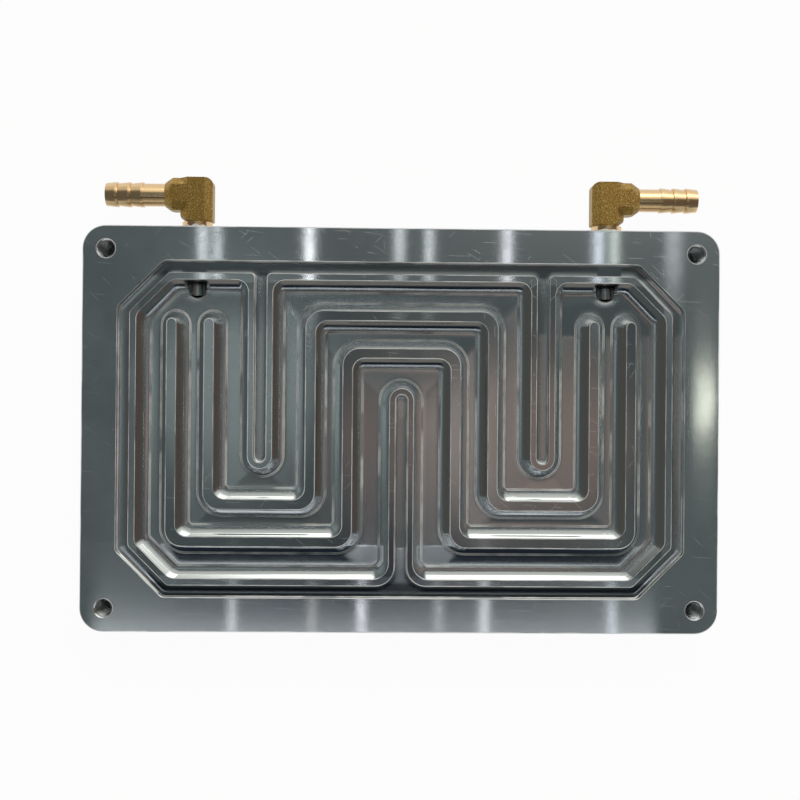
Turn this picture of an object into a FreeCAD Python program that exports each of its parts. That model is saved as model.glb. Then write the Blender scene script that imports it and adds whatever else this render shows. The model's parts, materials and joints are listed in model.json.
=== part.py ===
import FreeCAD, Part
import math
import os
import Sketcher
from FreeCAD import Vector

# A liquid cooling cold plate: one milled aluminium plate, open face up, with two brass hose-barb
# elbows screwed into its top edge over thread tape. Millimetres. The origin is the centre of the
# plate's back face, +Z rises out of the open face and +Y points at the edge with the fittings.

doc = FreeCAD.newDocument("cold_plate")
sheet = doc.addObject("Spreadsheet::Sheet", "Sizes")

sizes = {
    # plate
    "plate_length": 260.0,
    "plate_width": 165.0,
    "plate_thickness": 20.0,
    "plate_corner_radius": 9.5,
    "edge_break": 0.3,
    # coolant channels: an octagonal area, crossed by fingers of land and by two ribs
    "end_border": 22.1,
    "long_border": 21.9,
    "channel_area_length": "=plate_length - 2 * end_border",
    "channel_area_width": "=plate_width - 2 * long_border",
    "channel_corner_leg": 14.2,
    "base_thickness": 8.5,
    "channel_depth": "=plate_thickness - base_thickness",
    "floor_radius": 4.0,
    "cutter_corner_radius": 4.8,
    "centre_foot_radius": 6.5,
    "finger_width": 10.3,
    "rib_thickness": 4.4,
    "rib_outer_radius": 7.0,
    # half the area's length less four ribs and one and a half fingers, shared among the channels
    "channel_room": "=channel_area_length / 2 - 4 * rib_thickness - 1.5 * finger_width",
    "outer_channel_width": "=0.159 * channel_room",
    "middle_channel_width": "=0.1443 * channel_room",
    "inner_leg_width": "=0.181 * channel_room",
    "inner_rise_width": "=0.175 * channel_room",
    "lower_channel_width": 12.6,
    "side_turn_width": 12.2,
    "centre_turn_width": 11.8,
    "port_pocket_width": 15.4,
    # seal groove
    "land_width": 3.1,
    "groove_width": 4.6,
    "finger_groove_width": 4.7,
    "groove_depth": 2.6,
    "groove_corner_radius": 3.0,
    "groove_branch_radius": 2.0,
    "groove_foot_radius": 8.0,
    # corner screw holes
    "hole_inset": 9.5,
    "hole_diameter": 6.8,
    "hole_countersink": 0.6,
    # side ports
    "port_inset": 45.0,
    "port_height": "=plate_thickness / 2",
    "port_thread_diameter": 13.3,
    "port_thread_depth": 13.0,
    "port_bore_diameter": 8.0,
    "port_bore_overrun": 5.2,
    "drill_point_angle": 118.0,
    # elbow fittings
    "body_width": 13.2,
    "body_bevel": 3.0,
    "body_rise": 20.6,
    "body_reach": 13.1,
    "body_gap": 2.6,
    "body_heel_radius": 2.5,
    "arm_face_diameter": 10.2,
    "arm_chamfer_angle": 55.0,
    "riser_face_diameter": 12.8,
    "riser_chamfer_angle": 30.0,
    "shank_diameter": 12.6,
    "shank_length": 11.0,
    "shank_chamfer": 0.8,
    "fitting_bore_diameter": 6.0,
    "barb_neck_diameter": 9.4,
    "barb_neck_length": 9.0,
    "barb_root_diameter": 9.2,
    "barb_crest_diameter": 10.3,
    "barb_crest_land": 0.8,
    "barb_pitch": 5.3,
    "barb_tip_length": 4.8,
    "barb_tip_diameter": 9.4,
    # thread tape
    "tape_thickness": 0.3,
    "tape_length": 8.0,
    "tape_show": 1.5,
}
for row, (alias, size) in enumerate(sizes.items(), start=1):
    sheet.set("A%d" % row, alias)
    sheet.set("B%d" % row, str(size))
    sheet.setAlias("B%d" % row, alias)
doc.recompute()


# An expression is words with spaces between them: sheet aliases, numbers, operators, brackets.

def value(expression):
    return float(sheet.evalExpression(expression))


def bound(expression):
    # the same expression as another object reads it, with the sheet's name before each alias
    return " ".join("Sizes." + word if word in sizes else word for word in expression.split(" "))


def minus(expression):
    return "-1 * ( " + expression + " )"


def originPlane(body, role):
    return [plane for plane in body.Origin.OriginFeatures if plane.Role == role][0]


def newSketch(body, name, role="XY_Plane", lift=None, rise=None):
    # lift moves the sketch along its normal, rise moves it along its own upright axis
    sketch = body.newObject("Sketcher::SketchObject", name)
    sketch.AttachmentSupport = [(originPlane(body, role), "")]
    sketch.MapMode = "FlatFace"
    if lift:
        sketch.setExpression("AttachmentOffset.Base.z", bound(lift))
    if rise:
        sketch.setExpression("AttachmentOffset.Base.y", bound(rise))
    return sketch


def constrain(sketch, rules):
    # rules are (constraint, expression that drives it, or None)
    indices = sketch.addConstraint([constraint for constraint, expression in rules])
    for index, (constraint, expression) in zip(indices, rules):
        if expression:
            sketch.setExpression("Constraints[%d]" % index, bound(expression))


def placed(axis, geometry, point, expression):
    # a signed dimension from the sketch's origin to a point, along X or Y
    rule = Sketcher.Constraint("Distance" + axis, -1, 1, geometry, point, value(expression))
    return rule, expression


class Side:
    # one straight side of an outline: upright at an x, level at a y, or slanted at 45 degrees
    # at a distance from the origin, towards the quadrant given by the signs of x and y
    def __init__(self, kind, expression, towards):
        self.kind = kind
        self.expression = expression
        self.normal = Vector(*towards, 0).normalize()
        self.offset = value(expression)


def upright(expression):
    return Side("upright", expression, (1, 0))


def level(expression):
    return Side("level", expression, (0, 1))


def slanted(expression, xSign, ySign):
    return Side("slanted", expression, (xSign, ySign))


def crossing(first, second):
    det = first.normal.x * second.normal.y - first.normal.y * second.normal.x
    x = (first.offset * second.normal.y - first.normal.y * second.offset) / det
    y = (first.normal.x * second.offset - first.offset * second.normal.x) / det
    return Vector(x, y, 0)


def heading(vector):
    return math.atan2(vector.y, vector.x)


def bendBetween(first, last, direction, centre):
    # the arc from first to last that leaves first in a direction; also says if it turns right
    turnsRight = (centre - first).cross(direction).z > 0
    start, stop = (last, first) if turnsRight else (first, last)
    startAngle, stopAngle = heading(start - centre), heading(stop - centre)
    if stopAngle <= startAngle:
        stopAngle += 2 * math.pi
    circle = Part.Circle(centre, Vector(0, 0, 1), (first - centre).Length)
    return Part.ArcOfCircle(circle, startAngle, stopAngle), turnsRight


def drawOutline(sketch, sides, joints):
    # A closed outline. joints[i] joins side i to the next one: the radius of a rounded corner,
    # or ("tip", height), a half-round between two upright sides with its centre at that height.
    count = len(sides)
    corners, starts, ends = [None] * count, [None] * count, [None] * count
    for i, joint in enumerate(joints):
        after = (i + 1) % count
        if isinstance(joint, tuple):
            ends[i] = Vector(sides[i].offset, value(joint[1]), 0)
            starts[after] = Vector(sides[after].offset, value(joint[1]), 0)
        else:
            corners[i] = crossing(sides[i], sides[after])
    for i, corner in enumerate(corners):
        if corner is None:
            continue
        after = (i + 1) % count
        toBefore = ((corners[i - 1] or starts[i]) - corner).normalize()
        toAfter = ((corners[after] or ends[after]) - corner).normalize()
        cutBack = value(joints[i]) / math.tan(toBefore.getAngle(toAfter) / 2)
        ends[i] = corner + toBefore * cutBack
        starts[after] = corner + toAfter * cutBack

    bends, rightTurns = [], []
    for i in range(count):
        first, last = ends[i], starts[(i + 1) % count]
        direction = (ends[i] - starts[i]).normalize()
        if corners[i] is None:
            centre = (first + last) * 0.5
        else:
            across = Vector(-direction.y, direction.x, 0)
            if across.dot(last - first) < 0:
                across = across * -1
            centre = first + across * value(joints[i])
        bend, turnsRight = bendBetween(first, last, direction, centre)
        bends.append(bend)
        rightTurns.append(turnsRight)
    lineIds = sketch.addGeometry([Part.LineSegment(*pair) for pair in zip(starts, ends)], False)
    bendIds = sketch.addGeometry(bends, False)

    rules = []
    for i, (side, joint) in enumerate(zip(sides, joints)):
        line, bend, following = lineIds[i], bendIds[i], lineIds[(i + 1) % count]
        if side.kind == "upright":
            rules.append((Sketcher.Constraint("Vertical", line), None))
            rules.append(placed("X", line, 1, side.expression))
        elif side.kind == "level":
            rules.append((Sketcher.Constraint("Horizontal", line), None))
            rules.append(placed("Y", line, 1, side.expression))
        else:
            angle = heading(ends[i] - starts[i])
            rules.append((Sketcher.Constraint("Angle", line, angle), None))
            distance = Sketcher.Constraint("Distance", -1, 1, line, side.offset)
            rules.append((distance, side.expression))
        near, far = (2, 1) if rightTurns[i] else (1, 2)
        rules.append((Sketcher.Constraint("Tangent", line, 2, bend, near), None))
        rules.append((Sketcher.Constraint("Tangent", bend, far, following, 1), None))
        if isinstance(joint, tuple):
            rules.append(placed("Y", bend, 3, joint[1]))
        else:
            rules.append((Sketcher.Constraint("Radius", bend, value(joint)), joint))
    constrain(sketch, rules)


def drawPolygon(sketch, corners):
    # corners are pairs of expressions, one for x and one for y
    points = [Vector(value(x), value(y), 0) for x, y in corners]
    edges = [Part.LineSegment(*pair) for pair in zip(points, points[1:] + points[:1])]
    ids = sketch.addGeometry(edges, False)
    rules = []
    for edge, following, (x, y) in zip(ids, ids[1:] + ids[:1], corners):
        rules.append((Sketcher.Constraint("Coincident", edge, 2, following, 1), None))
        rules.append(placed("X", edge, 1, x))
        rules.append(placed("Y", edge, 1, y))
    constrain(sketch, rules)


def drawCircle(sketch, x, y, diameter):
    circle = Part.Circle(Vector(value(x), value(y), 0), Vector(0, 0, 1), value(diameter) / 2)
    index = sketch.addGeometry(circle, False)
    size = Sketcher.Constraint("Diameter", index, value(diameter)), diameter
    constrain(sketch, [placed("X", index, 3, x), placed("Y", index, 3, y), size])


def newBody(label):
    body = doc.addObject("PartDesign::Body", label)
    body.Label = label
    return body


def addPad(body, name, sketch, length):
    pad = body.newObject("PartDesign::Pad", name)
    pad.Profile = sketch
    pad.setExpression("Length", bound(length))
    doc.recompute()
    return pad


def addPocket(body, name, sketch, depth=None):
    # a pocket of a depth, or right through
    before = body.Shape.Volume
    pocket = body.newObject("PartDesign::Pocket", name)
    pocket.Profile = sketch
    if depth:
        pocket.setExpression("Length", bound(depth))
    else:
        pocket.Type = "ThroughAll"
    doc.recompute()
    checkVolume(body, name, before, shrinks=True)
    return pocket


def addTurned(body, kind, name, sketch, axis):
    # a Revolution adds the turned profile, a Groove cuts it away
    before = body.Shape.Volume
    turned = body.newObject("PartDesign::" + kind, name)
    turned.Profile = sketch
    turned.ReferenceAxis = (sketch, [axis])
    turned.Angle = 360
    doc.recompute()
    checkVolume(body, name, before, shrinks=kind == "Groove")
    return turned


def checkVolume(body, name, before, shrinks):
    change = body.Shape.Volume - before
    if (change >= -1e-6) if shrinks else (change <= 1e-6):
        raise RuntimeError("%s changes the volume by %.3f" % (name, change))


def dressEdges(body, kind, name, base, elements, size):
    # a Fillet or Chamfer on named faces or edges of the feature before it
    feature = body.newObject("PartDesign::" + kind, name)
    feature.Base = (base, elements)
    feature.setExpression("Radius" if kind == "Fillet" else "Size", bound(size))
    doc.recompute()
    return feature


def facesAtHeight(feature, expression):
    height = value(expression)
    return ["Face%d" % number for number, face in enumerate(feature.Shape.Faces, start=1)
            if abs(face.BoundBox.ZMin - height) < 1e-4 and abs(face.BoundBox.ZMax - height) < 1e-4]


# ---- milled channel plate ----

channelX = "channel_area_length / 2"
channelY = "channel_area_width / 2"
cornerReach = "( channel_area_length / 2 + channel_area_width / 2 - channel_corner_leg ) / sqrt( 2 )"
portX = "plate_length / 2 - port_inset"
toLand = " + land_width"
toGroove = " + land_width + groove_width"
ribsAndMiddle = " - 2 * rib_thickness - middle_channel_width"
fingerX = channelX + " - outer_channel_width" + ribsAndMiddle + " - inner_leg_width - finger_width / 2"
sideTipY = minus(channelY + " - lower_channel_width" + ribsAndMiddle
                 + " - side_turn_width - finger_width / 2")
centreTipY = (channelY + " - outer_channel_width" + ribsAndMiddle
              + " - centre_turn_width - finger_width / 2")


def drawOctagon(sketch, outwards, radius):
    x, y, reach = channelX + outwards, channelY + outwards, cornerReach + outwards
    sides = [
        level(y), slanted(reach, -1, 1), upright(minus(x)), slanted(reach, -1, -1),
        level(minus(y)), slanted(reach, 1, -1), upright(x), slanted(reach, 1, 1),
    ]
    drawOutline(sketch, sides, [radius] * len(sides))


def drawSerpentineOutline(sketch, outwards, fingerHalf, corner, mouth, foot):
    # An octagon that detours round two fingers from the top edge and one from the bottom edge.
    # It runs from the left port pocket down the left leg and round to the right port pocket.
    x, y, reach = channelX + outwards, channelY + outwards, cornerReach + outwards
    fingerOuter, fingerInner = fingerX + " + " + fingerHalf, fingerX + " - " + fingerHalf
    sides = [
        level(y), slanted(reach, -1, 1), upright(minus(x)), slanted(reach, -1, -1),
        level(minus(y)), upright(minus(fingerHalf)), upright(fingerHalf), level(minus(y)),
        slanted(reach, 1, -1), upright(x), slanted(reach, 1, 1), level(y),
        upright(fingerOuter), upright(fingerInner), level(y),
        upright(minus(fingerInner)), upright(minus(fingerOuter)),
    ]
    joints = [
        corner, corner, corner, corner, foot, ("tip", centreTipY), foot, corner,
        corner, corner, corner, mouth, ("tip", sideTipY), mouth, mouth, ("tip", sideTipY), mouth,
    ]
    drawOutline(sketch, sides, joints)


def drawRib(sketch, legX, lowY, turnX, highY):
    # A thin wall down the left leg, under the side finger, over the centre finger and back the
    # same way. legX, lowY and highY are its faces towards the plate's edges, turnX is its face
    # towards the centre finger; its other face lies a rib's thickness away.
    thinner, thicker = " - rib_thickness", " + rib_thickness"
    endY = channelY + " - port_pocket_width - rib_thickness / 2"
    sides = [
        upright(minus(legX)), level(minus(lowY)), upright(minus(turnX)), level(highY + thinner),
        upright(turnX), level(minus(lowY)), upright(legX),
        upright(legX + thinner), level(minus(lowY + thinner)), upright(turnX + thicker),
        level(highY), upright(minus(turnX + thicker)), level(minus(lowY + thinner)),
        upright(minus(legX + thinner)),
    ]
    outer, inner = "rib_outer_radius", "cutter_corner_radius"
    joints = [
        outer, outer, inner, inner, outer, outer, ("tip", endY),
        inner, inner, outer, outer, inner, inner, ("tip", endY),
    ]
    drawOutline(sketch, sides, joints)


def makeChannelPlate():
    body = newBody("channel_plate")

    blank = newSketch(body, "blank_outline")
    halfX, halfY = "plate_length / 2", "plate_width / 2"
    sides = [level(halfY), upright(minus(halfX)), level(minus(halfY)), upright(halfX)]
    drawOutline(blank, sides, ["plate_corner_radius"] * 4)
    addPad(body, "blank", blank, "plate_thickness")

    # the wetted area is sunk in one go and leaves the two ribs standing
    area = newSketch(body, "channel_area", lift="plate_thickness")
    drawSerpentineOutline(
        area, "", "finger_width / 2", "cutter_corner_radius", "cutter_corner_radius",
        "centre_foot_radius")
    outerLeg = channelX + " - outer_channel_width"
    outerLow = channelY + " - lower_channel_width"
    innerHigh = channelY + " - outer_channel_width"
    nextRib = " - rib_thickness - middle_channel_width"
    innerTurn = fingerX + " - finger_width / 2 - inner_rise_width - rib_thickness"
    drawRib(area, outerLeg, outerLow, innerTurn + nextRib, innerHigh + nextRib)
    drawRib(area, outerLeg + nextRib, outerLow + nextRib, innerTurn, innerHigh)
    channels = addPocket(body, "channels", area, "channel_depth")

    # the ball-nosed cutter leaves a full round at the foot of every wall
    floor = facesAtHeight(channels, "plate_thickness - channel_depth")
    dressEdges(body, "Fillet", "floor_rounds", channels, floor, "floor_radius")

    ring = newSketch(body, "seal_groove_outline", lift="plate_thickness")
    drawOctagon(ring, toGroove, "groove_corner_radius")
    drawSerpentineOutline(
        ring, toLand, "finger_groove_width / 2", "groove_corner_radius", "groove_branch_radius",
        "groove_foot_radius")
    groove = addPocket(body, "seal_groove", ring, "groove_depth")

    face = facesAtHeight(groove, "plate_thickness") + facesAtHeight(groove, "0")
    dressEdges(body, "Chamfer", "broken_edges", groove, face, "edge_break")

    holes = newSketch(body, "screw_hole_places", lift="plate_thickness")
    holeX, holeY = halfX + " - hole_inset", halfY + " - hole_inset"
    for x in (holeX, minus(holeX)):
        for y in (holeY, minus(holeY)):
            drawCircle(holes, x, y, "hole_diameter")
    drilled = addPocket(body, "screw_holes", holes)
    radius = value("hole_diameter / 2")
    rims = ["Edge%d" % number for number, edge in enumerate(drilled.Shape.Edges, start=1)
            if isinstance(edge.Curve, Part.Circle) and abs(edge.Curve.Radius - radius) < 1e-6
            and edge.isClosed()]
    dressEdges(body, "Chamfer", "countersinks", drilled, rims, "hole_countersink")

    # one side port: a threaded mouth, then a drilled bore whose point runs on into the pocket
    port = newSketch(body, "port_profile", lift="port_height")
    axisX, mouthY = minus(portX), "plate_width / 2"
    threadX = axisX + " - port_thread_diameter / 2"
    boreX = axisX + " - port_bore_diameter / 2"
    threadY = mouthY + " - port_thread_depth"
    shoulder = " - ( port_thread_diameter - port_bore_diameter ) / 2 / tan( drill_point_angle / 2 )"
    boreY = channelY + " - port_bore_overrun"
    tip = " - port_bore_diameter / 2 / tan( drill_point_angle / 2 )"
    drawPolygon(port, [
        (axisX, mouthY), (axisX, boreY + tip), (boreX, boreY), (boreX, threadY + shoulder),
        (threadX, threadY), (threadX, mouthY),
    ])
    spindle = port.addGeometry(
        Part.LineSegment(Vector(value(axisX), 0, 0), Vector(value(axisX), 10, 0)), True)
    constrain(port, [
        (Sketcher.Constraint("Vertical", spindle), None),
        placed("X", spindle, 1, axisX),
    ])
    leftPort = addTurned(body, "Groove", "left_port", port, "Axis0")
    mirrored = body.newObject("PartDesign::Mirrored", "right_port")
    mirrored.Originals = [leftPort]
    mirrored.MirrorPlane = (originPlane(body, "YZ_Plane"), [""])
    body.Tip = mirrored
    doc.recompute()
    return body


# ---- brass elbow fitting ----
# Each elbow has a frame of its own: its origin is the centre of the port's mouth, its Z axis
# points out of the port and its X axis runs along the barb.

armZ = "body_rise - body_width / 2"


def drawBevelledSquare(sketch):
    half, near = "body_width / 2", "body_width / 2 - body_bevel"
    drawPolygon(sketch, [
        (half, minus(near)), (half, near), (near, half), (minus(near), half),
        (minus(half), near), (minus(half), minus(near)), (minus(near), minus(half)),
        (near, minus(half)),
    ])


def turnedChamfer(end, faceAt, backwards):
    # what a turning tool takes off a square end: a triangle outside the turned face, as pairs of
    # a place along the axis and a radius
    radius, far = end + "_face_diameter / 2", "body_width"
    run = " ( body_width - " + radius + " ) * tan( " + end + "_chamfer_angle )"
    return [(faceAt, radius), (faceAt, far), (faceAt + backwards + run, far)]


def makeElbow(label, side, facing):
    body = newBody(label)

    riser = newSketch(body, label + "_riser_section", lift="body_gap")
    drawBevelledSquare(riser)
    addPad(body, label + "_riser", riser, "body_rise - body_gap")
    arm = newSketch(body, label + "_arm_section", "YZ_Plane", rise=armZ)
    drawBevelledSquare(arm)
    forged = addPad(body, label + "_arm", arm, "body_reach")

    # the forging's heel, where the two arms meet, is rounded
    heel = []
    for number, edge in enumerate(forged.Shape.Edges, start=1):
        middle = edge.CenterOfMass
        atBack = abs(middle.x + value("body_width / 2")) < 1e-4
        if atBack and abs(middle.z - value("body_rise")) < 1e-4:
            heel.append("Edge%d" % number)
    dressEdges(body, "Fillet", label + "_heel", forged, heel, "body_heel_radius")

    armTurning = newSketch(body, label + "_arm_turning", "XZ_Plane", rise=armZ)
    drawPolygon(armTurning, turnedChamfer("arm", "body_reach", " -"))
    addTurned(body, "Groove", label + "_arm_face", armTurning, "H_Axis")
    riserTurning = newSketch(body, label + "_riser_turning", "XZ_Plane")
    triangle = turnedChamfer("riser", "body_gap", " +")
    drawPolygon(riserTurning, [(radius, along) for along, radius in triangle])
    addTurned(body, "Groove", label + "_riser_face", riserTurning, "V_Axis")

    shank = newSketch(body, label + "_shank_profile", "XZ_Plane")
    shankX, shankZ = "shank_diameter / 2", minus("shank_length")
    drawPolygon(shank, [
        ("0", "body_gap"), (shankX, "body_gap"), (shankX, shankZ + " + shank_chamfer"),
        (shankX + " - shank_chamfer", shankZ), ("0", shankZ),
    ])
    addTurned(body, "Revolution", label + "_shank", shank, "V_Axis")

    # the barb: a plain neck, then three ridges that rise gently from the tip and drop steeply
    barb = newSketch(body, label + "_barb_profile", "XZ_Plane", rise=armZ)
    neckEnd = "body_reach + barb_neck_length"
    root, crest = "barb_root_diameter / 2", "barb_crest_diameter / 2"
    profile = [("body_reach", "0"), ("body_reach", "barb_neck_diameter / 2"),
               (neckEnd, "barb_neck_diameter / 2")]
    barbEnd = neckEnd + " + 2 * barb_pitch + barb_tip_length"
    for ridge in range(3):
        steep = neckEnd + " + %d * barb_pitch" % ridge
        foot = (steep + " + barb_pitch", root) if ridge < 2 else (barbEnd, "barb_tip_diameter / 2")
        profile += [(steep, crest), (steep + " + barb_crest_land", crest), foot]
    profile.append((barbEnd, "0"))
    drawPolygon(barb, profile)
    addTurned(body, "Revolution", label + "_barb", barb, "H_Axis")

    # two drilled bores meet in the forging
    bore = "fitting_bore_diameter / 2"
    point = " + fitting_bore_diameter / 2 / tan( drill_point_angle / 2 )"
    upBore = newSketch(body, label + "_shank_bore_profile", "XZ_Plane")
    drawPolygon(upBore, [("0", shankZ), (bore, shankZ), (bore, armZ), ("0", armZ + point)])
    addTurned(body, "Groove", label + "_shank_bore", upBore, "V_Axis")
    alongBore = newSketch(body, label + "_barb_bore_profile", "XZ_Plane", rise=armZ)
    drawPolygon(alongBore, [
        (barbEnd, "0"), (barbEnd, bore), ("0", bore), (minus("0" + point), "0"),
    ])
    addTurned(body, "Groove", label + "_barb_bore", alongBore, "H_Axis")

    placeAtPort(body, side, facing)
    return body


def placeAtPort(piece, side, facing):
    # facing turns the piece's own X axis to the plate's -X (-1) or +X (+1) side
    turn = FreeCAD.Rotation(Vector(facing, 0, 0), Vector(0, 0, -facing), Vector(0, 1, 0), "ZXY")
    piece.Placement = FreeCAD.Placement(Vector(0, 0, 0), turn)
    piece.setExpression("Placement.Base.x", bound("%d * ( %s )" % (side, portX)))
    piece.setExpression("Placement.Base.y", bound("plate_width / 2"))
    piece.setExpression("Placement.Base.z", bound("port_height"))


def makeThreadTape(label, side):
    # a sleeve of wound tape round the shank, which shows a little above the port's mouth
    body = newBody(label)
    section = newSketch(body, label + "_section", lift="tape_show - tape_length")
    drawCircle(section, "0", "0", "shank_diameter")
    drawCircle(section, "0", "0", "shank_diameter + 2 * tape_thickness")
    addPad(body, label + "_sleeve", section, "tape_length")
    placeAtPort(body, side, side)
    return body


pieces = [
    makeChannelPlate(),
    makeElbow("inlet_elbow", -1, -1),
    makeElbow("outlet_elbow", 1, 1),
    makeThreadTape("inlet_thread_tape", -1),
    makeThreadTape("outlet_thread_tape", 1),
]
doc.recompute()

failed = [item.Name for item in doc.Objects if "Invalid" in item.State or "Error" in item.State]
if failed:
    raise RuntimeError("failed objects: " + ", ".join(failed))
os.makedirs("parts", exist_ok=True)
for piece in pieces:
    shape = piece.Shape
    if shape.isNull() or not shape.isValid() or len(shape.Solids) != 1:
        raise RuntimeError(piece.Label + " is not one valid solid")
    shape.exportStep("parts/%s.step" % piece.Label)
    box = shape.BoundBox
    print("%-20s %9.0f mm3  x %.2f..%.2f  y %.2f..%.2f  z %.2f..%.2f" % (
        piece.Label, shape.Volume, box.XMin, box.XMax, box.YMin, box.YMax, box.ZMin, box.ZMax))
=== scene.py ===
import json
import math
import random

import bpy
from mathutils import Matrix, Vector


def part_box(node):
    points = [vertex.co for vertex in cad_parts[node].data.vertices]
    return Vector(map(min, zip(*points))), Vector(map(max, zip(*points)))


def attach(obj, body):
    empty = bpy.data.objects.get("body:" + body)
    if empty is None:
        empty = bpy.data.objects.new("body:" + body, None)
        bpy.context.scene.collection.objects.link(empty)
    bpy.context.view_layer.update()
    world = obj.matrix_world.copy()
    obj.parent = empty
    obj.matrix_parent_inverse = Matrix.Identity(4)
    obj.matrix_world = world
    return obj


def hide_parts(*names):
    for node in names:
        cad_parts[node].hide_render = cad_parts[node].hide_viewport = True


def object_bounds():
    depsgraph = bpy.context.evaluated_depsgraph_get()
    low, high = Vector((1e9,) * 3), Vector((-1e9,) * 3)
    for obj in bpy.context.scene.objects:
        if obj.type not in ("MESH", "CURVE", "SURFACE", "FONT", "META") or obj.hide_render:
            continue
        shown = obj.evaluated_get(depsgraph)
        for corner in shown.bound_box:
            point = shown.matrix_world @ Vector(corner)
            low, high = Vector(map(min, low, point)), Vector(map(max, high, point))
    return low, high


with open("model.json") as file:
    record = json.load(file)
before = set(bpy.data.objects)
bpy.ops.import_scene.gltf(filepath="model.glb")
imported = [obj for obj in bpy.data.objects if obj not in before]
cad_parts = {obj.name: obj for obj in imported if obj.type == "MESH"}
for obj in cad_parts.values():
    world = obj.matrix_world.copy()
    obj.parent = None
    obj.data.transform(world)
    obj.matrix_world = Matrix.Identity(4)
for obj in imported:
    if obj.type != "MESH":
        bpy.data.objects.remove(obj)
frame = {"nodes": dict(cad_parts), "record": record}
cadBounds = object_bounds()
mm = 0.001
openings = {item["name"]: item["box_m"] for item in frame["record"]["physics"]["openings"]}
mounts = {item["name"]: item for item in frame["record"]["mounts"]}
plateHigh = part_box("channel_plate")[1]
faceHeight = plateHigh.z
channelReach = openings["right_outer_leg_channel"][1][0]     # how far the channels go out along X
channelRise = -openings["right_outer_lower_channel"][0][1]   # and along Y
lowestRibSide = openings["left_outer_lower_channel"][1][1]   # where the lowest run meets its rib
portAside = sum(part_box("outlet_thread_tape"), Vector()).x / 2   # from the middle to each port
print("frame loaded:", ", ".join(sorted(frame["nodes"])))


view = {
    "distance": 0.4808,                 # from the face, straight above the plate
    "aside": 0.0006, "down": 0.0124,    # where the plate's centre lies off the line of sight
    "turn": (-0.17, 1.14, -0.47),       # small tilts of the plate against the line of sight
    "lens": 53.1, "sensor": 36,         # mm
}


def makeCamera():
    around = [Matrix.Rotation(math.radians(angle), 3, axis)
              for angle, axis in zip(view["turn"], "XYZ")]
    turn = around[0] @ around[1] @ around[2]
    shift = Vector((view["aside"], -view["down"], -view["distance"]))
    place = turn.transposed() @ -shift + Vector((0, 0, faceHeight))
    camera = bpy.data.objects.new("camera", bpy.data.cameras.new("camera"))
    camera.data.lens = view["lens"]
    camera.data.sensor_width = view["sensor"]
    camera.data.clip_start = 0.01
    camera.matrix_world = Matrix.Translation(place) @ turn.transposed().to_4x4()
    bpy.context.scene.collection.objects.link(camera)
    bpy.context.scene.camera = camera
    bpy.context.scene.view_settings.view_transform = "Standard"
    return place


cameraPlace = makeCamera()
print("camera placed at", tuple(round(part, 4) for part in cameraPlace))


def colour(code):
    parts = [int(code[at:at + 2], 16) / 255 for at in (1, 3, 5)]
    parts = [part / 12.92 if part <= 0.04045 else ((part + 0.055) / 1.055) ** 2.4 for part in parts]
    return (*parts, 1.0)


def add(tree, kind, inputs=None, **settings):
    # adds a node with its settings and links. For an input's name or number, inputs gives a value,
    # another node's output, or another node, whose first output in use is then taken
    node = tree.nodes.new(kind)
    for name, setting in settings.items():
        setattr(node, name, setting)
    for name, source in (inputs or {}).items():
        if isinstance(name, str):
            socket = next(item for item in node.inputs if item.name == name and item.enabled)
        else:
            socket = node.inputs[name]
        if isinstance(source, bpy.types.Node):
            source = next(item for item in source.outputs if item.enabled)
        if isinstance(source, bpy.types.NodeSocket):
            tree.links.new(source, socket)
        else:
            socket.default_value = source
    return node


def grain(tree, place, size, detail=2.0, roughness=0.5):
    # noise whose grains have their own size along each axis; a metre is as good as no change
    stretched = add(tree, "ShaderNodeMapping", {
        "Vector": place, "Scale": [1 / length for length in size],
    })
    return add(tree, "ShaderNodeTexNoise", {
        "Vector": stretched, "Scale": 1.0, "Detail": detail, "Roughness": roughness,
    })


def newMaterial(name):
    # an empty material, its node tree and the place on the piece that its patterns read
    material = bpy.data.materials.new(name)
    material.use_nodes = True
    tree = material.node_tree
    tree.nodes.clear()
    return material, tree, add(tree, "ShaderNodeTexCoord").outputs["Object"]


# Aluminium alloy, milled all over and left bare. The faces are skimmed along the plate's length,
# so their fine lines pull every lamp out into a streak across the plate. The channels keep the
# ticks of the cutter's feed, which blur reflections along the cut and leave them sharp across it.

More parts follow.
